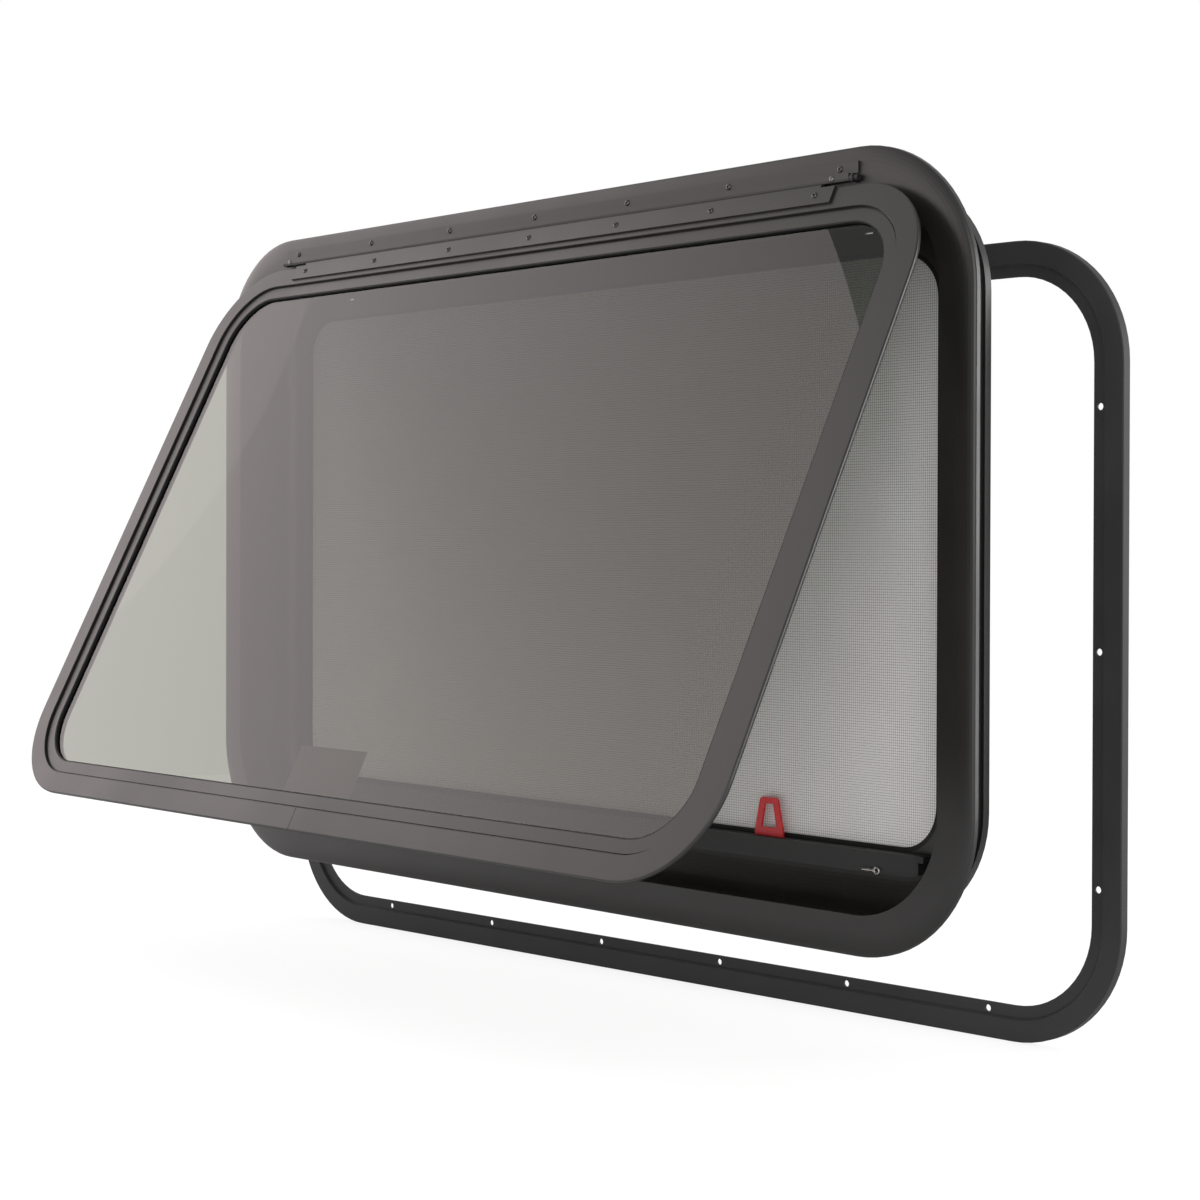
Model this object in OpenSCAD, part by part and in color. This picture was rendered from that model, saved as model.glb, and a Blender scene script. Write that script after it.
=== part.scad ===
// Top-hung caravan window: outer frame with insect screen, hinged tinted sash
// and the clamp ring that grips the wall from inside, here taken off and set behind.
// X runs across the window, +Y points into the caravan and +Z is up.
// The origin lies on the flat back of the flange, bottom centre.

/* [Flange] */
// Overall width of the outer flange
flange_w = 800; // [600:1:1000]
// Overall height of the outer flange
flange_h = 500; // [400:1:700]
// Corner radius of the flange outline
corner_r = 92; // [84:1:120]
// Width of the flange from its outer edge to its inner edge
flange_face = 26; // [24:0.5:27]
// Thickness of the flange at its outer edge
edge_t = 3; // [2:0.1:4]
// Height of the flange crown in front of the wall
crown_h = 6.5; // [6:0.1:8]
// Inset from the flange edge to the centre of the mounting land
land_inset = 9; // [6:0.5:12]

/* [Frame neck] */
// Inset of the neck outer face from the flange edge
neck_inset = 22; // [21:0.5:23]
// Wall thickness of the frame section
wall_t = 2.2; // [1.6:0.1:3]
// Depth of the straight gutter floor behind the wall line
gutter_d = 14; // [8:0.5:20]
// Radius of the cove between gutter and screen land
cove_r = 24; // [18:0.5:26]
// Width of the screen land beyond the cove
land_w = 13; // [8:0.5:16]
// Thickness of the skins round the hollow in the flange
skin_t = 1.6; // [1.2:0.1:1.8]
// Width of the flange's rounded front up to its flat crown
crown_w = 17; // [14:0.5:18]
// Depth of the neck's back corner in front of the screen land's front
neck_back = 3; // [2:0.5:6]
// Height of the rim round the neck's back end, which the clamp ring's screws bite into
rim_h = 2; // [1:0.1:2.5]
// Width of the neck's rim
rim_w = 5.5; // [3:0.5:8]
// Length of the drain slots in the cove
slot_l = 7; // [4:0.5:10]
// Width of the drain slots
slot_w = 1.2; // [0.8:0.1:1.6]
// Distance of the drain slots from the ends of the frame's straight parts
slot_end = 20; // [10:0.5:40]

/* [Screen] */
// Width of the black spline round the mesh
spline_w = 3; // [2:0.5:5]
// Thickness of the screen mesh sheet
mesh_t = 0.6; // [0.4:0.1:1]
// Width of the screen frame behind the land
screen_w = 8; // [6:0.5:10]
// Thickness of the screen frame
screen_t = 3; // [2:0.5:4]

/* [Latch bar] */
// Height of the bar face
bar_h = 12; // [8:0.1:12.5]
// Depth of the bar in front of the screen land
bar_d = 10; // [6:0.5:12]
// Length by which the bar runs past the straight part of the frame at each end
bar_past = 20; // [4:0.5:20]
// Diameter of the latch pin
pin_d = 2.6; // [2:0.1:3]
// Length of the latch pin
pin_l = 9; // [6:0.5:20]
// Distance of the latch pin's inner end from the bar's end
pin_back = 42.5; // [20:0.5:60]
// Radius of the clip's eye to the middle of its wire
clip_r = 2; // [1.5:0.1:2.5]
// Radius of the clip's wire
clip_wire = 0.6; // [0.4:0.1:0.8]
// Distance of the pull loop from the window's centre line
loop_x = 195; // [-250:1:250]
// Height of the pull loop
loop_h = 25.5; // [18:0.5:40]
// Width of the pull loop at its foot
loop_w = 26; // [20:0.5:40]
// Width of the strip that the pull loop is made of
loop_strip = 4; // [3:0.1:6]
// Thickness of the pull loop
loop_t = 1.6; // [1:0.1:2.4]

/* [Sash] */
// Inset of the sash's sides from the flange edge
sash_side = 22; // [21:0.5:23]
// Inset of the closed sash's bottom edge from the flange edge
sash_low = 17; // [16:0.5:18]
// Shift of the sash along its hinge
sash_shift = 2.5; // [0:0.5:2.5]
// Corner radius of the sash outline
sash_r = 66; // [60:1:80]
// Thickness of the sash lip
lip_t = 1.6; // [1.2:0.1:2.2]
// Width of the sash face
face_w = 26; // [22:0.5:30]
// Depth of the sash frame from its face to its back
sash_d = 14; // [12:0.5:18]
// Inset of the sash channel from the lip's edge
channel_in = 14.5; // [14.5:0.5:16]
// Depth at which the glass sits behind the face
glass_in = 4.3; // [3.8:0.1:4.6]
// Inset of the step between the sash's face and its inner land
sash_step = 16; // [15.5:0.1:16.4]
// Depth of the inner land behind the face
inner_land = 1.9; // [1.5:0.1:2.2]
// Width of the groove at the foot of the step
groove_w = 1; // [0.6:0.1:1.6]
// Depth of the groove behind the face
groove_d = 2.5; // [2.3:0.1:3]
// Radius of the lip's round front edge
lip_round = 0.9; // [0.4:0.1:1]
// Thickness of the glass
glass_t = 4; // [3:0.5:5]
// Width of the black glazing gasket
gasket_w = 0.8; // [0.6:0.1:1.5]
// Depth at which the gasket lies behind the face
gasket_in = 2.4; // [2.2:0.1:3]
// Height of the weather seal behind the lip
seal_t = 1.2; // [0.8:0.1:1.8]
// Width of the weather seal
seal_w = 3; // [2:0.5:5]
// Depth of the glazing bead behind the glass
bead_d = 3.5; // [1.5:0.1:4]
// Inset of the weather seal from the lip's edge
seal_in = 0.1; // [0.1:0.1:2]
// Gap between the weather seal and the closed flange
seal_gap = 0.3; // [0.2:0.1:1]

/* [Hinge] */
// Opening angle of the sash as drawn
open_angle = 27; // [0:0.5:60]
// Distance of the hinge axis below the flange's top edge
axis_drop = 20; // [19:0.5:21]
// Shift of the hinge to the right of the flange's middle
hinge_shift = 2.5; // [0:0.5:2.5]
// Length by which the knuckle ends short of the frame leaf at each end
knuckle_back = 4; // [3:0.5:12]
// Length by which the sash leaf ends short of the frame leaf at each end
leaf_back = 17; // [14:0.5:24]
// Thickness of the hinge leaves
leaf_t = 1.5; // [1.2:0.1:2]
// Height of the frame leaf above the hinge axis
leaf_up = 10.5; // [8:0.5:12]
// Reach of the sash leaf below the sash top edge
leaf_down = 12; // [8:0.5:14]
// Outer radius of the hooked knuckle
knuckle_r = 3; // [2.8:0.1:3.1]
// Radius of the bead that turns in the knuckle
bead_r = 1.7; // [1.5:0.05:1.8]
// Running clearance round the bead
bead_gap = 0.05; // [0.03:0.01:0.1]
// Gap between the hinge axis and the sash's top edge
top_gap = 5; // [4.8:0.1:6]
// Radius of the rivet heads
rivet_r = 2.1; // [1.6:0.1:2.6]
// Height of the rivet heads
rivet_h = 0.9; // [0.6:0.1:1.2]
// Distance of the last rivet from the end of its leaf
rivet_end = 15; // [10:0.5:24]
// Radius of the hinge screws
screw_r = 1.9; // [1.5:0.1:2.1]
// Distance of the right hinge screw from the end of the frame leaf
screw_right = 18; // [16:0.5:24]
// Distance of the left hinge screw from the end of the frame leaf
screw_left = 8.5; // [8:0.5:24]
// Length by which the bead ends short of the sash leaf at each end
bead_back = 12; // [8:0.5:20]

/* [Label] */
// Width of the bare label on the glass
label_w = 74; // [40:1:100]
// Height of the bare label on the glass
label_h = 33; // [20:1:50]
// Distance of the label's middle from the sash's centre line
label_x = 6; // [-200:1:200]

/* [Clamp ring] */
// Shift of the loose ring to the right of the window's centre line
ring_x = 40.7; // [0:0.1:60]
// Gap between the loose ring's nearest edge and the back of the screen frame
ring_gap = 0.3; // [0.1:0.1:1]
// Drop of the loose ring below the window's middle
ring_drop = 55.8; // [0:0.1:80]
// Turn of the loose ring about the upright
ring_turn = 3; // [0:0.1:3]
// Corner radius of the clamp ring outline
ring_r = 78.5; // [70:0.5:100]
// Width of the clamp ring section
ring_face = 22.4; // [20:0.1:26]
// Width of the screw band at the ring's inner edge
ring_band = 9; // [8:0.1:10]
// Sheet thickness of the clamp ring
ring_t = 1.6; // [1.2:0.1:2.5]
// Depth of the step between the two bands of the ring
ring_step = 2.5; // [1:0.1:4]
// Depth of the ring's rolled outer edge
ring_roll = 7; // [5:0.5:10]
// Radius of the screw holes
hole_r = 2.2; // [1.8:0.1:2.5]
// Inset of the screw holes from the ring's inner edge
hole_in = 4.4; // [4:0.1:5]

/* [Hidden] */
$fn = 96;

// Clearance between pieces that are glazed or laid in place
fit_gap = 0.3;
// Length by which a cutting body passes the face that it opens
cut_past = 1;

// Heights above the origin and depths from the wall line
mid_z = flange_h / 2 - land_inset;
axis_z = mid_z + flange_h / 2 - axis_drop;
leaf_y = -crown_h;
leaf_front = leaf_y - leaf_t;
axis_y = leaf_y - knuckle_r;
lip_back = -crown_h - seal_gap - seal_t;
sash_front = lip_back - lip_t;
sash_top = axis_z - top_gap;
sash_leaf_y = sash_front - leaf_t;

// Size of the sash, from the flange round it
sash_w = flange_w - 2 * sash_side;
sash_h = sash_top - mid_z + flange_h / 2 - sash_low;
channel_out = channel_in + 2;
bead_y = glass_in + glass_t + fit_gap;

// Section of the frame: inner face of the neck and the screen land
neck_in = neck_inset + wall_t;
cove_in = neck_in + cove_r;
land_in = cove_in + land_w;
land_y = gutter_d + cove_r;
screen_y = land_y + wall_t;
mesh_in = land_in + spline_w;

// The hinge runs along the straight part of the flange
hinge_l = flange_w - 2 * corner_r;
knuckle_l = hinge_l - 2 * knuckle_back;
sash_leaf_l = hinge_l - 2 * leaf_back;
rivet_n = 3;
bore_r = bead_r + bead_gap;
// Mouth of the knuckle and direction of the neck in it, in degrees from straight
// down; positive angles point away from the wall
mouth_from = -53;
mouth_to = 53;
neck_turn = -30;
neck_t = 0.9;
curl_in = knuckle_r + 0.3;
curl_out = curl_in + neck_t;

// Latch bar under the screen, a running length of the frame's straight part
bar_half = flange_w / 2 - corner_r + bar_past;
bar_top = mid_z - flange_h / 2 + land_in;
bar_y = land_y - bar_d;
pin_from = bar_half - pin_back;

// Clamp ring, as wide and as high as the flange, with its screw holes' places:
// each has its like on the far side of the ring's middle
ring_w = flange_w;
ring_h = flange_h;
ring_y = screen_y + screen_t + ring_gap + ring_w / 2 * sin(ring_turn);
ring_hole_z = ring_h / 2 - ring_face + hole_in;
ring_hole_x = ring_w / 2 - ring_face + hole_in;
bottom_holes = [-0.715, -0.415, -0.115, 0.179, 0.465, 0.7525] * ring_w / 2;
right_holes = [-0.596, -0.018, 0.578] * ring_h / 2;

// Sweeps a section round a rounded rectangle in the window's plane.
// The section's X is the inset from the outline and its Y the depth towards +Y.
module around(w, h, r) {
    rotate([-90, 0, 0])
        for (side = [0:3]) {
            across = side % 2 == 0 ? w : h;
            along = side % 2 == 0 ? h : w;
            rotate([0, 0, 90 * side]) {
                translate([across / 2 - r, along / 2 - r, 0])
                    rotate_extrude(angle = 90)
                        translate([r, 0])
                            mirror([1, 0])
                                children();
                translate([across / 2, along / 2 - r, 0])
                    rotate([90, 0, 0])
                        linear_extrude(along - 2 * r)
                            mirror([1, 0])
                                children();
            }
        }
}

// Flat plate with round corners, front face at y = 0
module rounded_plate(w, h, r, t) {
    rotate([-90, 0, 0])
        linear_extrude(t)
            for (a = [0, 1])
                square([w - 2 * r * a, h - 2 * r * (1 - a)], center = true);
    rotate([-90, 0, 0])
        for (x = [-1, 1], y = [-1, 1])
            translate([x * (w / 2 - r), y * (h / 2 - r), 0])
                cylinder(r = r, h = t);
}

// Points of an arc in the section plane
function arc(cx, cy, r, from, to, steps) =
    [for (i = [0:steps]) [cx + r * cos(from + (to - from) * i / steps), cy + r * sin(from + (to - from) * i / steps)]];

// Points of the flange's rounded front, or of a line that lies skin behind it
function front(skin, from) =
    [for (i = [0:8])
        let (a = from + (90 - from) * i / 8)
            [crown_w - (crown_w - skin) * cos(a), -edge_t - (crown_h - edge_t - skin) * sin(a)]];

// Point at an angle from straight down round the hinge axis, as Y and Z
function spoke(r, a) = [-r * sin(a), -r * cos(a)];

module frame_place() {
    translate([0, 0, mid_z])
        children();
}

// Turns the sash and what it carries from closed to the opening drawn
module sash_place() {
    translate([hinge_shift + sash_shift, axis_y, axis_z])
        rotate([-open_angle, 0, 0])
            translate([0, -axis_y, -axis_z])
                children();
}

// Sweeps a section round the closed sash, with its depth counted from y
module round_sash(y) {
    sash_place()
        translate([0, y, sash_top - sash_h / 2])
            around(sash_w, sash_h, sash_r)
                children();
}

// Sweeps a section round the flange's outline
module round_frame() {
    frame_place()
        around(flange_w, flange_h, corner_r)
            children();
}

// Section of the frame: hollow flange, gutter, cove and screen land in one extrusion
module frame_section() {
    difference() {
        polygon(concat(
            [[0, 0]],
            front(0, 0),
            [[flange_face, -crown_h], [flange_face, -crown_h + wall_t], [neck_in, -crown_h + wall_t]],
            arc(cove_in, gutter_d, cove_r, 180, 90, 14),
            [[land_in, land_y], [land_in, screen_y]],
            arc(cove_in, gutter_d, cove_r + wall_t, 90, 135, 7),
            [
                [neck_in + wall_t, land_y - neck_back], [neck_inset - rim_h, land_y - neck_back],
                [neck_inset - rim_h, land_y - neck_back - rim_w], [neck_inset, land_y - neck_back - rim_w],
                [neck_inset, 0]
            ]
        ));
        polygon(concat(
            front(skin_t, 0),
            [[neck_inset - skin_t / 2, -crown_h + skin_t], [neck_inset - skin_t / 2, -skin_t], [skin_t, -skin_t]]
        ));
    }
}

// Slots that drain the cove, standing along the side at the left of each pair
module drain_slots() {
    side_in = cove_in - cove_r / 3;
    slot_x = flange_w / 2 - corner_r - 1.4 * slot_end;
    slot_z = flange_h / 2 - corner_r - slot_end;
    for (s = [-1, 1], t = [-1, 1]) {
        translate([s * (flange_w / 2 - side_in), land_y, t * slot_z])
            cube([slot_w, 4 * wall_t, slot_l], center = true);
        translate([t * slot_x, land_y, s * (flange_h / 2 - cove_in)])
            cube([slot_l, 4 * wall_t, slot_w], center = true);
    }
}

module outer_frame() {
    color("#3b3937")
        difference() {
            round_frame()
                frame_section();
            frame_place()
                drain_slots();
        }
}

module screen_frame() {
    color("#1c1b1b")
        round_frame()
            translate([mesh_in - screen_w - spline_w, screen_y])
                square([screen_w + spline_w, screen_t]);
}

module screen_spline() {
    color("#101010")
        round_frame()
            translate([land_in, land_y])
                square([spline_w, wall_t]);
}

module screen_mesh() {
    color("#9a9793")
        frame_place()
            translate([0, screen_y - mesh_t, 0])
                rounded_plate(flange_w - 2 * mesh_in, flange_h - 2 * mesh_in, corner_r - mesh_in, mesh_t);
}

module latch_bar() {
    color("#333231")
        translate([-bar_half, bar_y, bar_top - bar_h])
            cube([2 * bar_half, bar_d - fit_gap, bar_h]);
}

// Stepped end of the latch bar: a plate over the bar's end and a tongue at its top
module bar_end(side) {
    plate_t = 2;
    tongue = [4, bar_d - 2, 4];
    color("#181818")
        mirror([side < 0 ? 1 : 0, 0, 0])
            translate([bar_half, bar_y, bar_top]) {
                translate([0, 0, fit_gap - bar_h])
                    cube([plate_t, tongue[1], bar_h - fit_gap]);
                translate([plate_t, 0, -tongue[2]])
                    cube(tongue);
            }
}

module latch_pin() {
    color("#c9c7c2")
        translate([pin_from, bar_y - pin_d / 2, bar_top - bar_h])
            rotate([0, 90, 0])
                cylinder(d = pin_d, h = pin_l);
}

// Wire eye at the outer end of the latch pin
module pin_clip() {
    color("#8d8a86")
        translate([pin_from + pin_l + clip_r + clip_wire, bar_y - pin_d / 2, bar_top - bar_h])
            rotate([90, 0, 0])
                rotate_extrude()
                    translate([clip_r, 0])
                        circle(r = clip_wire);
}

// Flat loop, narrower at its top, that stands on the latch bar
module pull_loop() {
    foot = loop_w / 2;
    head = loop_w * 0.3;
    cut = 1.5;
    color("#c0282c")
        translate([loop_x, land_y - 2, bar_top])
            rotate([90, 0, 0])
                linear_extrude(loop_t)
                    difference() {
                        polygon([
                            [-foot, 0], [foot, 0], [foot - 0.3, loop_strip], [head + 0.4, loop_h - cut],
                            [head - cut, loop_h], [cut - head, loop_h], [-head - 0.4, loop_h - cut], [0.3 - foot, loop_strip]
                        ]);
                        polygon([
                            [loop_strip * 1.5 - foot, loop_strip * 1.4], [foot - loop_strip * 1.5, loop_strip * 1.4],
                            [head - loop_strip, loop_h - loop_strip], [loop_strip - head, loop_h - loop_strip]
                        ]);
                    }
}

// Draws a section given as Y and Z and runs it along X, centred
module along_x(length) {
    translate([-length / 2, 0, 0])
        rotate([90, 0, 90])
            linear_extrude(length)
                children();
}

// Hooked knuckle that holds the bead and stays open towards the sash
module knuckle_section() {
    reach = 3 * knuckle_r;
    difference() {
        union() {
            circle(r = knuckle_r);
            translate([-knuckle_r, 0])
                square([knuckle_r, knuckle_r]);
            translate([knuckle_r - leaf_t, 0])
                square([leaf_t, knuckle_r + 0.2]);
        }
        circle(r = bore_r);
        polygon([
            [0, 0], spoke(reach, mouth_from), spoke(reach, mouth_from / 2),
            spoke(reach, mouth_to / 2), spoke(reach, mouth_to)
        ]);
    }
}

// Place of a hinge screw's seat: an end of the knuckle, and the side it is on
module screw_place(side) {
    from_end = side < 0 ? screw_left : screw_right;
    translate([hinge_shift + side * (hinge_l / 2 - from_end), axis_y - knuckle_r + fit_gap, axis_z + 0.6])
        rotate([90, 0, 0])
            children();
}

module frame_hinge_leaf() {
    color("#3f3c3a")
        difference() {
            translate([hinge_shift, 0, 0]) {
                along_x(knuckle_l)
                    translate([axis_y, axis_z])
                        knuckle_section();
                along_x(hinge_l)
                    translate([leaf_front, axis_z + knuckle_r])
                        square([leaf_t, leaf_up - knuckle_r]);
            }
            for (side = [-1, 1])
                screw_place(side)
                    cylinder(r = screw_r + 0.1, h = knuckle_r);
        }
}

// Domed rivet head with its hollow shank, pointing towards -Y
module rivet() {
    rotate([90, 0, 0])
        rotate_extrude()
            polygon([
                [rivet_r / 4, 0], [rivet_r, 0], [rivet_r, rivet_h * 0.3],
                [rivet_r * 0.8, rivet_h * 0.8], [rivet_r / 2, rivet_h], [rivet_r / 3, rivet_h * 0.8]
            ]);
}

// Row of rivets evenly spaced along a leaf of a length
module rivet_row(length) {
    for (i = [-rivet_n:rivet_n])
        translate([i * (length / 2 - rivet_end) / rivet_n, 0, 0])
            rivet();
}

module frame_rivets() {
    color("#2e2c2b")
        translate([hinge_shift, leaf_front, axis_z + (knuckle_r + leaf_up) / 2])
            rivet_row(hinge_l);
}

// End cap of the knuckle with a smaller stub beyond it
module hinge_cap(side) {
    color("#1d1c1c")
        translate([hinge_shift + side * knuckle_l / 2, axis_y, axis_z])
            rotate([0, 90 * side, 0]) {
                cylinder(r = knuckle_r - 0.1, h = 3);
                cylinder(r = knuckle_r * 0.7, h = 6);
            }
}

// Pan head screw with a cross recess in the front of the knuckle
module hinge_screw(side) {
    recess = [screw_r * 1.2, 0.8, 0.5];
    color("#b9b6b0")
        screw_place(side)
            difference() {
                rotate_extrude()
                    polygon([[0, 0], [screw_r, 0], [screw_r, 0.5], [screw_r * 0.8, 0.9], [screw_r * 0.4, 1.1], [0, 1.1]]);
                for (a = [0, 90])
                    rotate([0, 0, a])
                        translate([0, 0, 1])
                            cube(recess, center = true);
            }
}

// Section of the ring: rolled edge, flat outer band, step and set-back screw band
module ring_section() {
    step_in = ring_face - ring_band;
    polygon([
        [0, 0.6], [0.6, 0], [step_in, 0], [step_in + ring_t, ring_step],
        [ring_face, ring_step], [ring_face, ring_step + ring_t], [step_in, ring_step + ring_t],
        [step_in - ring_t, ring_t], [ring_t, ring_t], [ring_t, ring_roll], [0, ring_roll]
    ]);
}

module ring_hole(x, z) {
    translate([x, -cut_past, z])
        rotate([-90, 0, 0])
            cylinder(r = hole_r, h = ring_roll + 2 * cut_past);
}

module clamp_ring() {
    color("#2b2a2a")
        translate([ring_x, ring_y, mid_z - ring_drop])
            rotate([0, 0, ring_turn])
                difference() {
                    around(ring_w, ring_h, ring_r)
                        ring_section();
                    for (s = [-1, 1]) {
                        for (x = bottom_holes)
                            ring_hole(-s * x, s * ring_hole_z);
                        for (z = right_holes)
                            ring_hole(s * ring_hole_x, s * z);
                    }
                }
}

// Section of the sash: lip, face, step with its groove, inner land, glass rebate and channel wall
module sash_section() {
    edge = 0.3;
    polygon(concat(
        arc(lip_round, lip_round, lip_round, 180, 270, 6),
        [
            [sash_step - edge, 0], [sash_step, edge], [sash_step, groove_d],
            [sash_step + groove_w, groove_d], [sash_step + groove_w + edge, inner_land],
            [face_w - edge, inner_land], [face_w, inner_land + edge], [face_w, glass_in],
            [channel_out + 2, glass_in], [channel_out + 2, bead_y], [channel_out, bead_y],
            [channel_out, sash_d], [channel_in, sash_d], [channel_in, lip_t], [0, lip_t]
        ]
    ));
}

// The sash frame is one bent extrusion, butted in the middle of its bottom rail
module sash_frame() {
    slit = [0.4, 1.2, face_w + cut_past];
    color("#4a4644")
        difference() {
            round_sash(sash_front)
                sash_section();
            sash_place()
                translate([-slit[0] / 2, sash_front - slit[1] / 2, sash_top - sash_h - cut_past])
                    cube(slit);
        }
}

module glass_pane() {
    inset = channel_out + 2 + fit_gap;
    color([0.42, 0.42, 0.4, 0.5])
        sash_place()
            translate([0, sash_front + glass_in, sash_top - sash_h / 2])
                rounded_plate(sash_w - 2 * inset, sash_h - 2 * inset, sash_r - inset, glass_t);
}

module glazing_gasket() {
    color("#0e0e0e")
        round_sash(sash_front)
            translate([face_w, gasket_in])
                square([gasket_w, glass_in - gasket_in]);
}

module glazing_bead() {
    color("#4a4644")
        round_sash(sash_front)
            translate([channel_out, bead_y])
                square([face_w + 0.5 - channel_out, bead_d]);
}

module weather_seal() {
    color("#111111")
        round_sash(lip_back)
            translate([seal_in, 0])
                square([seal_w, seal_t]);
}

// Leaf of the sash: bead, neck, curl round the knuckle and the riveted plate
module sash_hinge_leaf() {
    half = asin(neck_t / 2 / bead_r);
    curl_from = neck_turn - 7;
    curl_to = asin((axis_y - sash_leaf_y) / curl_out);
    curl_mid = (curl_in + curl_out) / 2;
    plate_top = axis_z - curl_in * cos(curl_to);
    color("#45413f")
        sash_place() {
            along_x(sash_leaf_l - 2 * bead_back) {
                translate([axis_y, axis_z]) {
                    circle(r = bead_r);
                    polygon([
                        spoke(bead_r * 0.8, neck_turn - half), spoke(bead_r * 0.8, neck_turn + half),
                        spoke(curl_mid, neck_turn + half / 2), spoke(curl_mid, curl_from + 1)
                    ]);
                    polygon(concat(
                        [for (i = [0:8]) spoke(curl_in, curl_from + (curl_to - curl_from) * i / 8)],
                        [for (i = [0:8]) spoke(curl_out, curl_to - (curl_to - curl_from) * i / 8)]
                    ));
                }
                translate([sash_leaf_y, sash_top])
                    square([leaf_t, plate_top - sash_top]);
            }
            along_x(sash_leaf_l)
                translate([sash_leaf_y, sash_top - leaf_down])
                    square([leaf_t, leaf_down]);
        }
}

module sash_rivets() {
    color("#2e2c2b")
        sash_place()
            translate([0, sash_leaf_y, sash_top - leaf_down * 0.44])
                rivet_row(sash_leaf_l);
}

// Bare label that lies on the back of the glass
module glass_label() {
    color([0.55, 0.53, 0.5, 0.8])
        sash_place()
            translate([label_x - label_w / 2, sash_front + glass_in + glass_t, sash_top - sash_h + face_w + 2])
                cube([label_w, 0.2, label_h]);
}

outer_frame();
screen_frame();
screen_spline();
screen_mesh();
latch_bar();
bar_end(-1);  // bar_end_left
bar_end(1);  // bar_end_right
latch_pin();
pin_clip();
pull_loop();
frame_hinge_leaf();
frame_rivets();
hinge_cap(-1);  // hinge_cap_left
hinge_cap(1);  // hinge_cap_right
hinge_screw(-1);  // hinge_screw_left
hinge_screw(1);  // hinge_screw_right
clamp_ring();
sash_frame();
glass_pane();
glazing_gasket();
glazing_bead();
weather_seal();
sash_hinge_leaf();
sash_rivets();
glass_label();
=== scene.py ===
"""Looks of a top-hung caravan window: coats, glass, insect net, small fittings, stage and camera.

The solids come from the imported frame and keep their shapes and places. This file gives each of
them its material, lays the strands of the insect net and a bare film on the glass, and sets the
camera, lamps, floor and world. Lengths are in metres, angles in radians.
"""

import math

import bpy
from mathutils import Matrix, Vector


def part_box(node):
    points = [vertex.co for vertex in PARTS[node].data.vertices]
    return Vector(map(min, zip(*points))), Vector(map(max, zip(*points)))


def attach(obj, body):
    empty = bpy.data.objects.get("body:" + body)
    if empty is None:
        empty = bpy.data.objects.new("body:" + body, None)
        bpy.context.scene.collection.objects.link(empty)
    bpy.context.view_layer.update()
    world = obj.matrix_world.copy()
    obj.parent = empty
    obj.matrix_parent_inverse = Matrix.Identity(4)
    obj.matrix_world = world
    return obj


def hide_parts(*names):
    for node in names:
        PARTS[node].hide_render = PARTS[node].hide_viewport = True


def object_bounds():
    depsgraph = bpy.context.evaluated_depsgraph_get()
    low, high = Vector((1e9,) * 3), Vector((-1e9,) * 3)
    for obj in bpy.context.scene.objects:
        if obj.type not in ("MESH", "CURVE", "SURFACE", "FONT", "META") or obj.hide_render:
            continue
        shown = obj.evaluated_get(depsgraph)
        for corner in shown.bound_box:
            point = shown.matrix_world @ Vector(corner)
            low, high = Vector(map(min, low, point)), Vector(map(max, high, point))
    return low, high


bl_info = {
    "name": "Caravan Window",
    "version": (1, 0, 0),
    "blender": (4, 5, 0),
    "location": "3D View > Sidebar > Window",
    "description": "Dresses a packed top-hung caravan window and sets its stage",
    "category": "Object",
}

MM = 0.001
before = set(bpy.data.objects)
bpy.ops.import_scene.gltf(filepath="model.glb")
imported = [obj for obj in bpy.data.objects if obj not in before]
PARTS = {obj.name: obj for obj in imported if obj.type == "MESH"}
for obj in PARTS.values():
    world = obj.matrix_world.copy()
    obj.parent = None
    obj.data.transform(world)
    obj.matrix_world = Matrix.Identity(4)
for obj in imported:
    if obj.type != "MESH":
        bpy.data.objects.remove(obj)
CAD_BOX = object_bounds()

# The photograph's side, focal length and middle height in pixels, and the camera's angles and
# place, all from the fit to the window's outlines. The place counts from the window's middle,
# which is 241 mm over the flange's bottom.
PHOTO_SIDE = 1200.0
PHOTO_FOCAL = 2366.97965
PHOTO_MIDDLE_Y = 564.97326
CAMERA_YAW = 0.841554303
CAMERA_PITCH = -0.00790976542
CAMERA_ROLL = 0.00296648631
CAMERA_PLACE_MM = (1290.78512, -1095.62825, 3.05686475 + 241.0)

# Blender's wave pattern takes the sine of the place times its scale times this factor.
WAVE_FACTOR = 20.0
# Nearly all values of a noise pattern lie between these two.
NOISE_LOW = 0.3
NOISE_HIGH = 0.7
BUMP_STRENGTH = 0.5
# Corner radius of the net's sheet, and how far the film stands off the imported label's place at
# the back of the glass.
NET_CORNER = 27.8 * MM
FILM_GAP = 0.05 * MM
# Radius of the round floor and the number of its sides.
FLOOR_REACH = 1.6
FLOOR_SIDES = 64


def linear(code):
    """Turns an sRGB hex colour into linear red, green, blue and full cover"""
    levels = [int(code[i:i + 2], 16) / 255 for i in (1, 3, 5)]
    return tuple(v / 12.92 if v <= 0.04045 else ((v + 0.055) / 1.055) ** 2.4 for v in levels) + (1.0,)


def colour_property(name, description, code):
    """A colour that the user can change, with a default written as sRGB hex"""
    return bpy.props.FloatVectorProperty(
        name=name, description=description, subtype="COLOR", size=4, min=0.0, max=1.0, default=linear(code)
    )


def length_property(name, description, default):
    """A length in metres that the user can change"""
    return bpy.props.FloatProperty(
        name=name, description=description, default=default, min=0.0, unit="LENGTH"
    )


def level_property(name, description, default):
    """A brightness that the user can change"""
    return bpy.props.FloatProperty(name=name, description=description, default=default, min=0.0)


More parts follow.
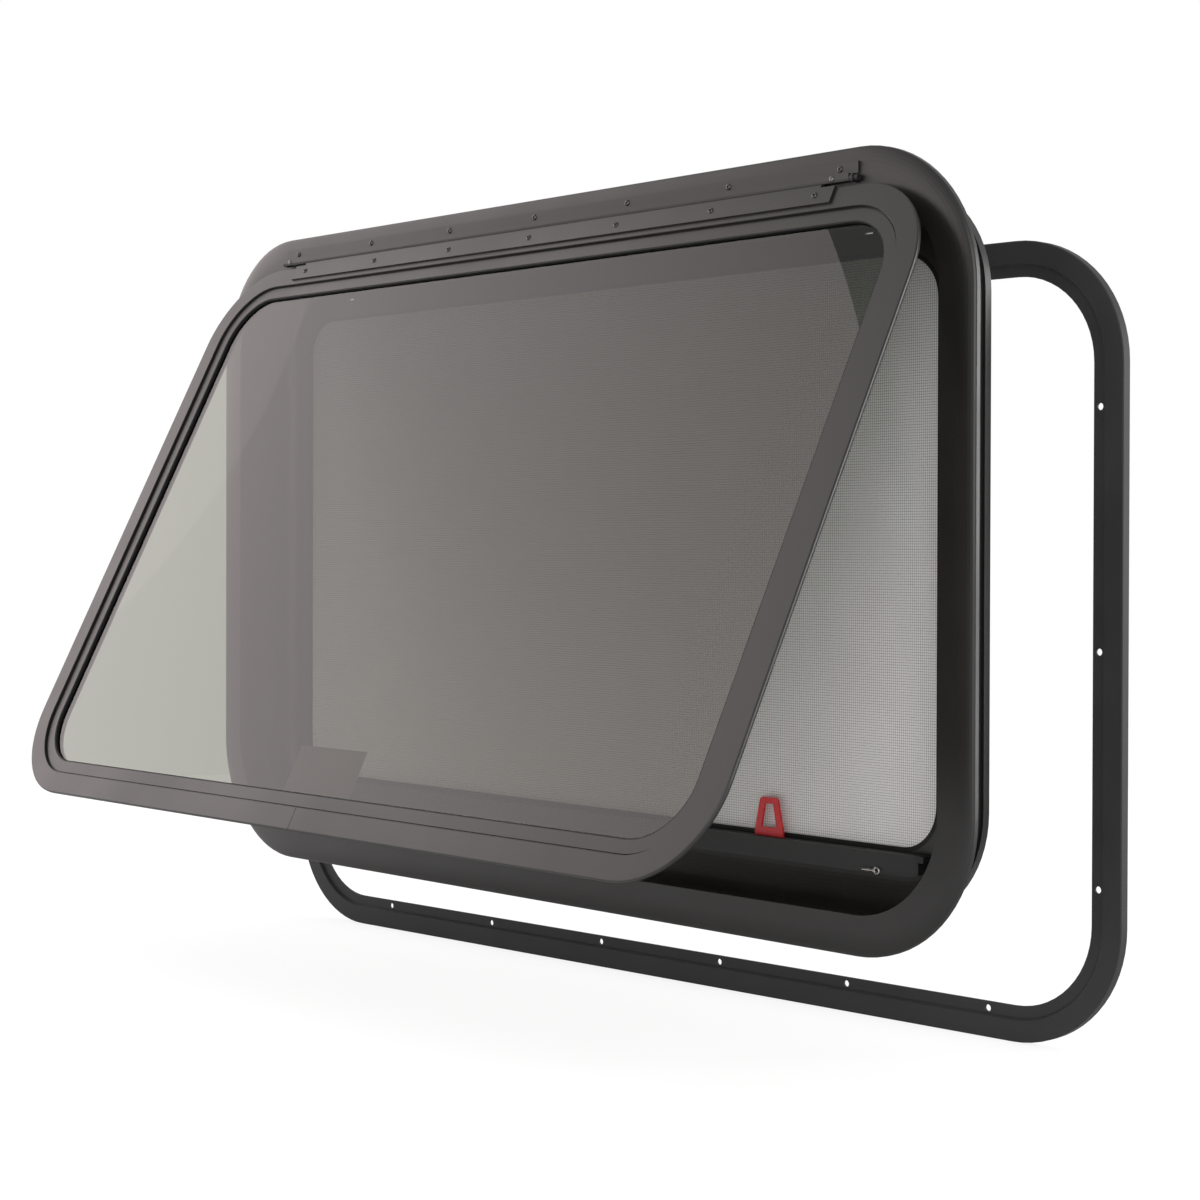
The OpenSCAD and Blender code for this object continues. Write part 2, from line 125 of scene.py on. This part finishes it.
class WindowFinish(bpy.types.PropertyGroup):
    """Colours and small sizes of the window's finishes"""

    coat: colour_property("Frame coat", "Powder coat of the frame, sash and hinge", "#1a1817")
    ring: colour_property("Ring coat", "Powder coat of the clamp ring", "#2d2d2d")
    rubber: colour_property("Rubber", "Seals, gasket and spline", "#111111")
    nylon: colour_property("Nylon", "Moulded black caps and ends", "#181818")
    strand: colour_property("Net strand", "Vinyl dip on the yarn of the insect net", "#a5a2a1")
    haze: colour_property("Net haze", "Even tone of the net's fine openings", "#fbf9f8")
    glass: colour_property("Glass", "What is seen through the tinted glass", "#91968b")
    glass_shade: colour_property("Glass shade", "Lamp light that the glass lets through", "#8f918b")
    film: colour_property("Film", "Bare label on the glass", "#f2ede8")
    steel: colour_property("Steel", "Bright metal of the turned pin and its clip", "#e4e2de")
    screw_share: bpy.props.FloatProperty(
        name="Screw tone", description="How bright the hinge screws are beside the pin",
        default=0.3, min=0.0, max=1.0, subtype="FACTOR"
    )
    loop: colour_property("Pull loop", "Red moulding that lifts the screen", "#d6262c")
    grit: length_property("Grit", "Size of the powder coat's orange peel", 1.1 * MM)
    net_pitch: length_property("Net pitch", "Distance between the net's strands", 1.7 * MM)
    net_strand: length_property("Strand width", "Width of a strand of the net", 0.5 * MM)
    net_proud: length_property("Strand proud", "Height of the strands over the sheet", 0.1 * MM)


class WindowStage(bpy.types.PropertyGroup):
    """Lamps, floor and world round the window"""

    key_radiance: level_property("Key brightness", "Brightness of the round softbox at the left", 1.7)
    key_colour: colour_property("Key colour", "Slightly warm light of the round softbox", "#fff1f2")
    key_diameter: length_property("Key diameter", "Diameter of the round softbox", 2.4)
    rim_radiance: level_property("Rim brightness", "Brightness of the strip lamp behind on the right", 7.0)
    room: level_property("Room level", "Plain light from all round that the surfaces get", 0.92)
    front: level_property("Front level", "Brightness of the dim room in front that glossy faces mirror", 0.44)
    behind: level_property("Back level", "Brightness of the white backdrop that glossy faces mirror", 0.66)
    front_lamp: level_property("Front brightness", "Brightness of the round lamp in front on the left", 4.2)
    side_lamp: level_property("Side brightness", "Brightness of the wide lamp in front on the right", 3.1)
    floor_gap: length_property("Floor gap", "Gap under the lowest point of the window", 0.2 * MM)


def add_node(tree, kind, settings=None, inputs=None):
    """Adds a node to a tree, sets its properties, and sets or links its inputs by name or number"""
    made = tree.nodes.new(kind)
    for name, value in (settings or {}).items():
        setattr(made, name, value)
    for name, value in (inputs or {}).items():
        socket = made.inputs[name]
        if isinstance(value, bpy.types.NodeSocket):
            tree.links.new(value, socket)
        else:
            socket.default_value = value
    return made


def new_material(name):
    """An empty node material and its tree"""
    material = bpy.data.materials.new(name)
    material.use_nodes = True
    material.node_tree.nodes.clear()
    return material, material.node_tree


def close_material(tree, shader):
    """Links a shader to the material's output"""
    add_node(tree, "ShaderNodeOutputMaterial", inputs={"Surface": shader})


def ray_kinds(tree):
    """Two switches of the stage's materials: rays that see the white backdrop straight or through
    the glass, and rays that a glossy face mirrors, also where they pass the glass on their way"""
    path = add_node(tree, "ShaderNodeLightPath")
    through = path.outputs["Is Transmission Ray"]
    straight = add_node(
        tree, "ShaderNodeMath", {"operation": "MAXIMUM"}, {0: path.outputs["Is Camera Ray"], 1: through}
    ).outputs[0]
    gloss = add_node(
        tree, "ShaderNodeMath", {"operation": "MAXIMUM"}, {0: path.outputs["Is Glossy Ray"], 1: through}
    ).outputs[0]
    bounced = add_node(
        tree, "ShaderNodeMath", {"operation": "GREATER_THAN"}, {0: path.outputs["Glossy Depth"], 1: 0.5}
    ).outputs[0]
    direct = add_node(
        tree, "ShaderNodeMath", {"operation": "SUBTRACT", "use_clamp": True}, {0: straight, 1: bounced}
    ).outputs[0]
    mirrored = add_node(tree, "ShaderNodeMath", {"operation": "MULTIPLY"}, {0: gloss, 1: bounced}).outputs[0]
    return direct, mirrored


def tint(colour, share):
    """A colour made lighter or darker by a share"""
    return tuple(min(1.0, c * share) for c in colour[:3]) + (1.0,)


def grain(tree, size, detail=3.0):
    """Noise whose grains have a real size in metres, as a value from 0 to 1"""
    place = add_node(tree, "ShaderNodeTexCoord")
    return add_node(
        tree, "ShaderNodeTexNoise",
        inputs={"Vector": place.outputs["Object"], "Scale": 1 / size, "Detail": detail}
    ).outputs["Fac"]


def between(tree, value, low, high):
    """Stretches the usual span of a noise value to a range"""
    return add_node(
        tree, "ShaderNodeMapRange",
        inputs={"Value": value, "From Min": NOISE_LOW, "From Max": NOISE_HIGH, "To Min": low, "To Max": high}
    ).outputs["Result"]


def two_tone(tree, value, dark, light):
    """Colour that goes from a dark to a light tone with a noise value"""
    return add_node(
        tree, "ShaderNodeMix", {"data_type": "RGBA"}, {0: between(tree, value, 0.0, 1.0), 6: dark, 7: light}
    ).outputs[2]


def surface(tree, colour, roughness, bump=None, **inputs):
    """A principled shader with its colour, roughness, bump and other constant inputs"""
    links = {"Base Color": colour, "Roughness": roughness}
    if bump is not None:
        height, distance = bump
        links["Normal"] = add_node(
            tree, "ShaderNodeBump", inputs={"Height": height, "Distance": distance, "Strength": BUMP_STRENGTH}
        ).outputs["Normal"]
    made = add_node(tree, "ShaderNodeBsdfPrincipled", inputs=links)
    for name, value in inputs.items():
        made.inputs[name.replace("_", " ")].default_value = value
    return made.outputs["BSDF"]


def powder_coat(name, colour, grit, roughness, mirror):
    """Powder coat baked on an aluminium profile: satin, with a very fine orange peel that breaks
    the light up, and slow clouds of slightly different gloss along the profile. mirror is the
    coat's IOR. Aluminium flakes in the frame's coat make it mirror the softbox brightly, which
    a high IOR stands for."""
    material, tree = new_material(name)
    peel = grain(tree, grit)
    cloud = grain(tree, 60 * MM, 2.0)
    tone = two_tone(tree, cloud, tint(colour, 0.9), tint(colour, 1.12))
    gloss = between(tree, cloud, roughness - 0.03, roughness + 0.04)
    close_material(tree, surface(tree, tone, gloss, (peel, 0.02 * MM), IOR=mirror))
    return material


def toughened_glass(name, colour, shade):
    """Toughened float glass, tinted grey in the melt: clear, hard and mirror-smooth on both
    faces, so that it shows the room's softbox over what lies behind it. Lamps shine through
    it as through a grey filter, which the mix of the two shaders stands for: rays that come
    straight from the camera or through the pane meet real glass, all others the filter."""
    material, tree = new_material(name)
    path = add_node(tree, "ShaderNodeLightPath")
    seen = add_node(
        tree, "ShaderNodeMath", {"operation": "MAXIMUM"},
        {0: path.outputs["Is Camera Ray"], 1: path.outputs["Is Transmission Ray"]}
    ).outputs[0]
    pane = surface(tree, colour, 0.0, IOR=1.52, Transmission_Weight=1.0)
    filtered = add_node(tree, "ShaderNodeBsdfTransparent", inputs={"Color": shade})
    mixed = add_node(tree, "ShaderNodeMixShader", inputs={0: seen, 1: filtered.outputs[0], 2: pane})
    close_material(tree, mixed.outputs[0])
    return material


def extruded_rubber(name, colour):
    """EPDM rubber pushed through a die: matt black with a faint bloom"""
    material, tree = new_material(name)
    bloom = grain(tree, 4 * MM)
    tone = two_tone(tree, bloom, colour, tint(colour, 1.5))
    gloss = between(tree, bloom, 0.55, 0.7)
    close_material(tree, surface(tree, tone, gloss, (grain(tree, 0.4 * MM), 0.02 * MM)))
    return material


def moulded_nylon(name, colour):
    """Black nylon moulded in a spark-eroded tool: low sheen with a fine even texture"""
    material, tree = new_material(name)
    tone = two_tone(tree, grain(tree, 3 * MM), colour, tint(colour, 1.3))
    close_material(tree, surface(tree, tone, 0.42, (grain(tree, 0.5 * MM), 0.03 * MM), IOR=1.53))
    return material


def vinyl_dipped_yarn(name, colour):
    """Glass-fibre yarn dipped in grey vinyl and woven: slightly glossy strands with an uneven coat"""
    material, tree = new_material(name)
    coat = grain(tree, 2 * MM)
    tone = two_tone(tree, coat, tint(colour, 0.8), tint(colour, 1.25))
    close_material(tree, surface(tree, tone, between(tree, coat, 0.45, 0.6), IOR=1.53))
    return material


def woven_net_haze(name, colour):
    """Openings of the woven insect net: far too fine to tell apart at this distance, so between
    the strands, which are drawn coarser than the real ones, lies an even pale haze that lets
    almost nothing behind it show, with slow clouds where the weave is a little uneven"""
    material, tree = new_material(name)
    cloud = grain(tree, 45 * MM, 2.0)
    tone = two_tone(tree, cloud, tint(colour, 0.97), tint(colour, 1.01))
    close_material(tree, surface(tree, tone, 0.7, (grain(tree, 1.6 * MM), 0.03 * MM), Alpha=0.95))
    return material


def polyester_film(name, colour):
    """Thin matt polyester film, bare, stuck on the inside of the glass: it veils what lies behind
    it with an even pale tone, which the tinted glass in front turns to a brownish grey"""
    material, tree = new_material(name)
    tone = two_tone(tree, grain(tree, 9 * MM), tint(colour, 0.96), tint(colour, 1.04))
    close_material(tree, surface(tree, tone, 0.5, Alpha=0.8))
    return material


def turned_steel(name, colour):
    """Stainless steel turned on a lathe: metal with soft rings of sheen across its axis, bright
    on the pin and its clip and dulled by oil on the hinge screws. The rings are 7.5 mm apart,
    far coarser than real turning marks, so that they show."""
    material, tree = new_material(name)
    ring_gap = 2 * math.pi * 1.2 * MM
    place = add_node(tree, "ShaderNodeTexCoord")
    rings = add_node(
        tree, "ShaderNodeTexWave", {"bands_direction": "X"},
        {"Vector": place.outputs["Object"], "Scale": 2 * math.pi / ring_gap / WAVE_FACTOR, "Distortion": 1.0}
    ).outputs["Fac"]
    tone = two_tone(tree, rings, tint(colour, 0.85), colour)
    gloss = between(tree, rings, 0.22, 0.36)
    close_material(tree, surface(tree, tone, gloss, (rings, 0.02 * MM), Metallic=1.0))
    return material


def moulded_abs(name, colour):
    """Red ABS moulded in a polished tool: glossy, with faint flow lines"""
    material, tree = new_material(name)
    flow = grain(tree, 5 * MM, 1.0)
    tone = two_tone(tree, flow, tint(colour, 0.88), tint(colour, 1.1))
    gloss = between(tree, flow, 0.28, 0.4)
    close_material(tree, surface(tree, tone, gloss, (grain(tree, 1 * MM), 0.02 * MM)))
    return material


def paint(names, material):
    """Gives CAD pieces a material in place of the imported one"""
    for name in names:
        mesh = PARTS[name].data
        mesh.materials.clear()
        mesh.materials.append(material)


def make_piece(name, vertices, faces, material, body, smooth=True):
    """A new mesh piece that rides on a body of the window"""
    mesh = bpy.data.meshes.new(name)
    mesh.from_pydata(vertices, [], faces)
    mesh.materials.append(material)
    mesh.polygons.foreach_set("use_smooth", [smooth] * len(mesh.polygons))
    piece = bpy.data.objects.new(name, mesh)
    bpy.context.scene.collection.objects.link(piece)
    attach(piece, body)
    return piece


def strand(vertices, faces, start, end, half_width, half_depth, sides=6):
    """Adds a straight oval strand of the upright net to a list of vertices and faces"""
    along = (end - start).normalized()
    through = Vector((0.0, 1.0, 0.0))
    side = along.cross(through)
    first = len(vertices)
    for i in range(sides):
        angle = 2 * math.pi * i / sides
        out = side * math.cos(angle) * half_width + through * math.sin(angle) * half_depth
        vertices.append(start + out)
        vertices.append(end + out)
    for i in range(sides):
        j = (i + 1) % sides
        faces.append((first + 2 * i, first + 2 * i + 1, first + 2 * j + 1, first + 2 * j))


def chord(half, other_half, radius, at):
    """Half length of a strand that lies at a distance from the middle of a round-cornered sheet"""
    into = abs(at) - (half - radius)
    if into <= 0:
        return other_half
    return other_half - radius + math.sqrt(max(0.0, radius * radius - into * into))


class CoatMetalwork(bpy.types.Operator):
    """Powder coats the frame, sash, hinge, bar, rivets and clamp ring"""

    bl_idname = "window.coat_metalwork"
    bl_label = "Coat Metalwork"

    def execute(self, context):
        finish = context.scene.window_finish
        grit = finish.grit
        satin = powder_coat("satin_powder_coated_aluminium", finish.coat, grit, roughness=0.39, mirror=1.66)
        paint(["outer_frame", "sash_frame", "glazing_bead", "frame_hinge_leaf", "sash_hinge_leaf"], satin)
        rolled = powder_coat("powder_coated_rolled_ring", finish.ring, grit, roughness=0.5, mirror=1.45)
        paint(["clamp_ring"], rolled)
        flat = powder_coat("powder_coated_bar", tint(finish.ring, 1.1), grit, roughness=0.5, mirror=1.48)
        paint(["latch_bar"], flat)
        heads = powder_coat("painted_rivet_heads", tint(finish.coat, 0.8), grit, roughness=0.3, mirror=1.8)
        paint(["frame_rivets", "sash_rivets"], heads)
        return {"FINISHED"}


class GlazeSash(bpy.types.Operator):
    """Gives the sash its tinted glass and the bare film on its back"""

    bl_idname = "window.glaze_sash"
    bl_label = "Glaze Sash"

    def execute(self, context):
        finish = context.scene.window_finish
        paint(["glass_pane"], toughened_glass("grey_toughened_float_glass", finish.glass, finish.glass_shade))
        packed = PARTS["glass_label"].data
        low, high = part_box("glass_label")
        slope = high - low
        inward = Vector((0, slope.z, -slope.y)).normalized() * FILM_GAP
        corners = [v.co + inward for v in packed.vertices]
        faces = [tuple(f.vertices) for f in packed.polygons]
        film = polyester_film("bare_polyester_film", finish.film)
        label = make_piece("bare_film", corners, faces, film, "sash", smooth=False)
        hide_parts("glass_label")
        return {"FINISHED"}


class FitRubberAndPlastic(bpy.types.Operator):
    """Gives the seals, spline, caps, ends and pull loop their rubber and plastics"""

    bl_idname = "window.fit_rubber_and_plastic"
    bl_label = "Fit Rubber and Plastic"

    def execute(self, context):
        finish = context.scene.window_finish
        rubber = extruded_rubber("extruded_epdm_rubber", finish.rubber)
        paint(["screen_spline", "glazing_gasket", "weather_seal"], rubber)
        nylon = moulded_nylon("moulded_black_nylon", finish.nylon)
        paint(["screen_frame", "bar_end_left", "bar_end_right", "hinge_cap_left", "hinge_cap_right"], nylon)
        paint(["pull_loop"], moulded_abs("moulded_red_abs", finish.loop))
        return {"FINISHED"}


class TurnSteelParts(bpy.types.Operator):
    """Gives the latch pin and its clip bright steel, and the hinge screws dull steel"""

    bl_idname = "window.turn_steel_parts"
    bl_label = "Turn Steel Parts"

    def execute(self, context):
        finish = context.scene.window_finish
        steel = turned_steel("turned_stainless_steel", finish.steel)
        paint(["latch_pin", "pin_clip"], steel)
        dull = turned_steel("dulled_steel_screws", tint(finish.steel, finish.screw_share))
        paint(["hinge_screw_left", "hinge_screw_right"], dull)
        return {"FINISHED"}


class WeaveNet(bpy.types.Operator):
    """Lays the insect net's strands over its sheet, which shows their openings as a haze. Their
    pitch is coarser than a real net's, so that the weave shows."""

    bl_idname = "window.weave_net"
    bl_label = "Weave Net"

    def execute(self, context):
        finish = context.scene.window_finish
        paint(["screen_mesh"], woven_net_haze("woven_glass_fibre_net", finish.haze))
        low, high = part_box("screen_mesh")
        centre = (low + high) / 2
        half = (high - low) / 2
        thick = finish.net_strand / 2
        deep = half.y + finish.net_proud
        vertices, faces = [], []
        count = int(half.x / finish.net_pitch)
        for i in range(-count, count + 1):
            x = i * finish.net_pitch
            reach = chord(half.x, half.z, NET_CORNER, x) - thick
            start = centre - Vector((-x, 0, reach))
            end = centre + Vector((x, 0, reach))
            strand(vertices, faces, start, end, thick, deep)
        count = int(half.z / finish.net_pitch)
        for i in range(-count, count + 1):
            z = i * finish.net_pitch
            reach = chord(half.z, half.x, NET_CORNER, z) - thick
            start = centre + Vector((-reach, 0, z))
            end = centre + Vector((reach, 0, z))
            strand(vertices, faces, start, end, thick, deep)
        yarn = vinyl_dipped_yarn("vinyl_dipped_glass_fibre_yarn", finish.strand)
        net = make_piece("net_strands", vertices, faces, yarn, "window_frame")
        return {"FINISHED"}


def pale_paper(name):
    """Pale paper rolled out on the floor: plain and matt. The camera sees it almost white with the
    window's faint shadow, and the window gets the light of pale paper from it. For glossy faces its
    tone carries a painted pool of light, brightest at the left under the softbox and about half as
    bright towards the middle."""
    material, tree = new_material(name)
    direct, mirrored = ray_kinds(tree)
    lit_tone = add_node(
        tree, "ShaderNodeMix", {"data_type": "RGBA"},
        {0: direct, 6: linear("#d8d8d8"), 7: linear("#808080")}
    ).outputs[2]
    spot = add_node(tree, "ShaderNodeTexCoord")
    across = add_node(tree, "ShaderNodeSeparateXYZ", inputs={0: spot.outputs["Object"]}).outputs["X"]
    # Painted pool of light: for glossy faces the paper's tone falls from full at the left, under the softbox,
    # to about half towards the middle.
    painted_softbox_pool = add_node(
        tree, "ShaderNodeMapRange",
        inputs={"Value": across, "From Min": -0.95, "From Max": -0.3, "To Min": 1.0, "To Max": 0.52}
    ).outputs["Result"]
    paper_tone = add_node(
        tree, "ShaderNodeMix", {"data_type": "RGBA"}, {0: mirrored, 6: lit_tone, 7: painted_softbox_pool}
    ).outputs[2]
    paper = add_node(tree, "ShaderNodeBsdfDiffuse", inputs={"Color": paper_tone}).outputs[0]
    lit_glow = add_node(tree, "ShaderNodeMix", {}, {0: direct, 2: 0.12, 3: 0.84}).outputs[0]
    strength = add_node(tree, "ShaderNodeMix", {}, {0: mirrored, 2: lit_glow, 3: 0.06}).outputs[0]
    glow = add_node(tree, "ShaderNodeEmission", inputs={"Strength": strength}).outputs[0]
    both = add_node(tree, "ShaderNodeAddShader", inputs={0: paper, 1: glow}).outputs[0]
    close_material(tree, both)
    return material


def lay_floor(scene, gap):
    """A round floor just under the window's lowest point"""
    low, high = CAD_BOX
    level = low.z - gap
    middle = (low + high) / 2
    mesh = bpy.data.meshes.new("floor")
    rim = []
    for i in range(FLOOR_SIDES):
        angle = 2 * math.pi * i / FLOOR_SIDES
        x = middle.x + FLOOR_REACH * math.cos(angle)
        y = middle.y + FLOOR_REACH * math.sin(angle)
        rim.append((x, y, level))
    mesh.from_pydata(rim, [], [tuple(range(FLOOR_SIDES))])
    floor = bpy.data.objects.new("floor", mesh)
    scene.collection.objects.link(floor)
    mesh.materials.append(pale_paper("pale_paper_floor"))


def set_world(scene, stage):
    """White where the camera sees it, plain light for the window, and for glossy faces a dim room
    in front that gets a little darker upwards and goes over to the white backdrop behind"""
    world = bpy.data.worlds.new("white_studio")
    scene.world = world
    world.use_nodes = True
    tree = world.node_tree
    tree.nodes.clear()
    direct, mirrored = ray_kinds(tree)
    way = add_node(tree, "ShaderNodeTexCoord").outputs["Generated"]
    toward = add_node(tree, "ShaderNodeSeparateXYZ", inputs={0: way})
    front = add_node(
        tree, "ShaderNodeMapRange", {"interpolation_type": "SMOOTHSTEP"},
        {
            "Value": toward.outputs["Z"], "From Min": 0.15, "From Max": 0.5,
            "To Min": stage.front, "To Max": stage.front * 0.8
        }
    ).outputs["Result"]
    around = add_node(
        tree, "ShaderNodeMapRange", {"interpolation_type": "SMOOTHSTEP"},
        {
            "Value": toward.outputs["Y"], "From Min": -0.5, "From Max": 0.3,
            "To Min": front, "To Max": stage.behind
        }
    ).outputs["Result"]
    plain = add_node(tree, "ShaderNodeMix", {}, {0: direct, 2: stage.room, 3: 1.0}).outputs[0]
    strength = add_node(tree, "ShaderNodeMix", {}, {0: mirrored, 2: plain, 3: around}).outputs[0]
    air = add_node(
        tree, "ShaderNodeBackground", inputs={"Color": linear("#ffffff"), "Strength": strength}
    ).outputs[0]
    add_node(tree, "ShaderNodeOutputWorld", inputs={"Surface": air})


def make_lamp(name, place, target, size, radiance, shape, colour=(1.0, 1.0, 1.0), fall=(1.0, 1.0)):
    """An area lamp aimed at a point. Its face has a given brightness, which can change from its
    lower to its upper edge by the two shares of fall."""
    lamp = bpy.data.lights.new(name, "AREA")
    lamp.color = colour
    lamp.use_nodes = True
    tree = lamp.node_tree
    tree.nodes.clear()
    spot = add_node(tree, "ShaderNodeNewGeometry")
    height = add_node(tree, "ShaderNodeSeparateXYZ", inputs={0: spot.outputs["Position"]})
    level = add_node(
        tree, "ShaderNodeMapRange", inputs={
            "Value": height.outputs["Z"],
            "From Min": place[2] - size[1] / 2, "From Max": place[2] + size[1] / 2,
            "To Min": fall[0], "To Max": fall[1]
        }
    ).outputs["Result"]
    face = add_node(tree, "ShaderNodeEmission", inputs={"Strength": level}).outputs[0]
    add_node(tree, "ShaderNodeOutputLight", inputs={"Surface": face})
    lamp.shape = shape
    lamp.size = size[0]
    lamp.size_y = size[1]
    area = size[0] * size[1] * (math.pi / 4 if shape == "DISK" else 1)
    lamp.energy = radiance * math.pi * area
    holder = bpy.data.objects.new(name, lamp)
    holder.location = place
    holder.rotation_mode = "QUATERNION"
    holder.rotation_quaternion = (Vector(target) - Vector(place)).to_track_quat("-Z", "Y")
    bpy.context.scene.collection.objects.link(holder)


def hang_lamps(stage):
    """The softbox that the glass mirrors at the upper left, a strip that edges the frame at the
    right, and two lamps in front, which light the net and the faces turned to the camera"""
    softbox = Vector((-2.137, -0.608, 1.56))
    make_lamp(
        "round_softbox", place=softbox, target=softbox + Vector((0.9135, 0.4067, 0.0)),
        size=(stage.key_diameter, stage.key_diameter), radiance=stage.key_radiance, shape="DISK",
        colour=tuple(stage.key_colour)[:3], fall=(1.38, 0.48)
    )
    make_lamp(
        "strip_lamp", place=(1.9, 1.65, 0.35), target=(0.376, -0.1, 0.24),
        size=(0.45, 1.7), radiance=stage.rim_radiance, shape="RECTANGLE", fall=(0.75, 1.6)
    )
    make_lamp(
        "front_lamp", place=(-0.83, -2.52, 0.57), target=(0.4, 0.0, 0.42),
        size=(0.9, 0.9), radiance=stage.front_lamp, shape="DISK", colour=linear("#fff3f1")[:3]
    )
    make_lamp(
        "side_lamp", place=(2.1, -2.3, 0.9), target=(0.3, 0.0, 0.2),
        size=(1.2, 1.6), radiance=stage.side_lamp, shape="RECTANGLE"
    )


class LightStage(bpy.types.Operator):
    """Lays the pale floor, sets the white background and hangs the lamps"""

    bl_idname = "window.light_stage"
    bl_label = "Light Stage"

    def execute(self, context):
        stage = context.scene.window_stage
        lay_floor(context.scene, stage.floor_gap)
        set_world(context.scene, stage)
        hang_lamps(stage)
        return {"FINISHED"}


class PlaceCamera(bpy.types.Operator):
    """Places the camera at the view that was fitted to the photograph's outlines"""

    bl_idname = "window.place_camera"
    bl_label = "Place Camera"

    def execute(self, context):
        turn_cos = math.cos(CAMERA_YAW)
        turn_sin = math.sin(CAMERA_YAW)
        level = math.cos(CAMERA_PITCH)
        ahead = Vector((-turn_sin * level, turn_cos * level, math.sin(CAMERA_PITCH)))
        right = Vector((turn_cos, turn_sin, 0.0))
        up = right.cross(ahead)
        across = right * math.cos(CAMERA_ROLL) + up * math.sin(CAMERA_ROLL)
        upward = up * math.cos(CAMERA_ROLL) - right * math.sin(CAMERA_ROLL)
        lens = bpy.data.cameras.new("photo_view")
        lens.sensor_width = 36.0
        lens.lens = PHOTO_FOCAL / PHOTO_SIDE * lens.sensor_width
        lens.shift_y = (PHOTO_MIDDLE_Y - PHOTO_SIDE / 2) / PHOTO_SIDE
        lens.clip_start = 0.05
        lens.clip_end = 50.0
        holder = bpy.data.objects.new("photo_view", lens)
        turned = Matrix((across, upward, -ahead)).transposed().to_4x4()
        holder.matrix_world = Matrix.Translation(Vector(CAMERA_PLACE_MM) * MM) @ turned
        context.scene.collection.objects.link(holder)
        context.scene.camera = holder
        context.scene.view_settings.view_transform = "Standard"
        return {"FINISHED"}


class WINDOW_PT_dressing(bpy.types.Panel):
    """Lists the steps that dress the window, in their order"""

    bl_label = "Caravan Window"
    bl_space_type = "VIEW_3D"
    bl_region_type = "UI"
    bl_category = "Window"

    def draw(self, context):
        for step in STEPS:
            self.layout.operator(step.bl_idname)
        for name in WindowFinish.__annotations__:
            self.layout.prop(context.scene.window_finish, name)
        for name in WindowStage.__annotations__:
            self.layout.prop(context.scene.window_stage, name)


STEPS = (PlaceCamera, CoatMetalwork, GlazeSash, FitRubberAndPlastic, TurnSteelParts, WeaveNet, LightStage)
CLASSES = (WindowFinish, WindowStage) + STEPS + (WINDOW_PT_dressing,)


def register():
    """Registers the classes and hangs the settings on the scene"""
    for kind in CLASSES:
        bpy.utils.register_class(kind)
    bpy.types.Scene.window_finish = bpy.props.PointerProperty(type=WindowFinish)
    bpy.types.Scene.window_stage = bpy.props.PointerProperty(type=WindowStage)


def unregister():
    """Takes the settings and the classes away again"""
    del bpy.types.Scene.window_stage
    del bpy.types.Scene.window_finish
    for kind in reversed(CLASSES):
        bpy.utils.unregister_class(kind)


def main():
    """Runs every step in its order"""
    register()
    for step in STEPS:
        group, name = step.bl_idname.split(".")
        getattr(getattr(bpy.ops, group), name)()


if __name__ == "__main__":
    main()
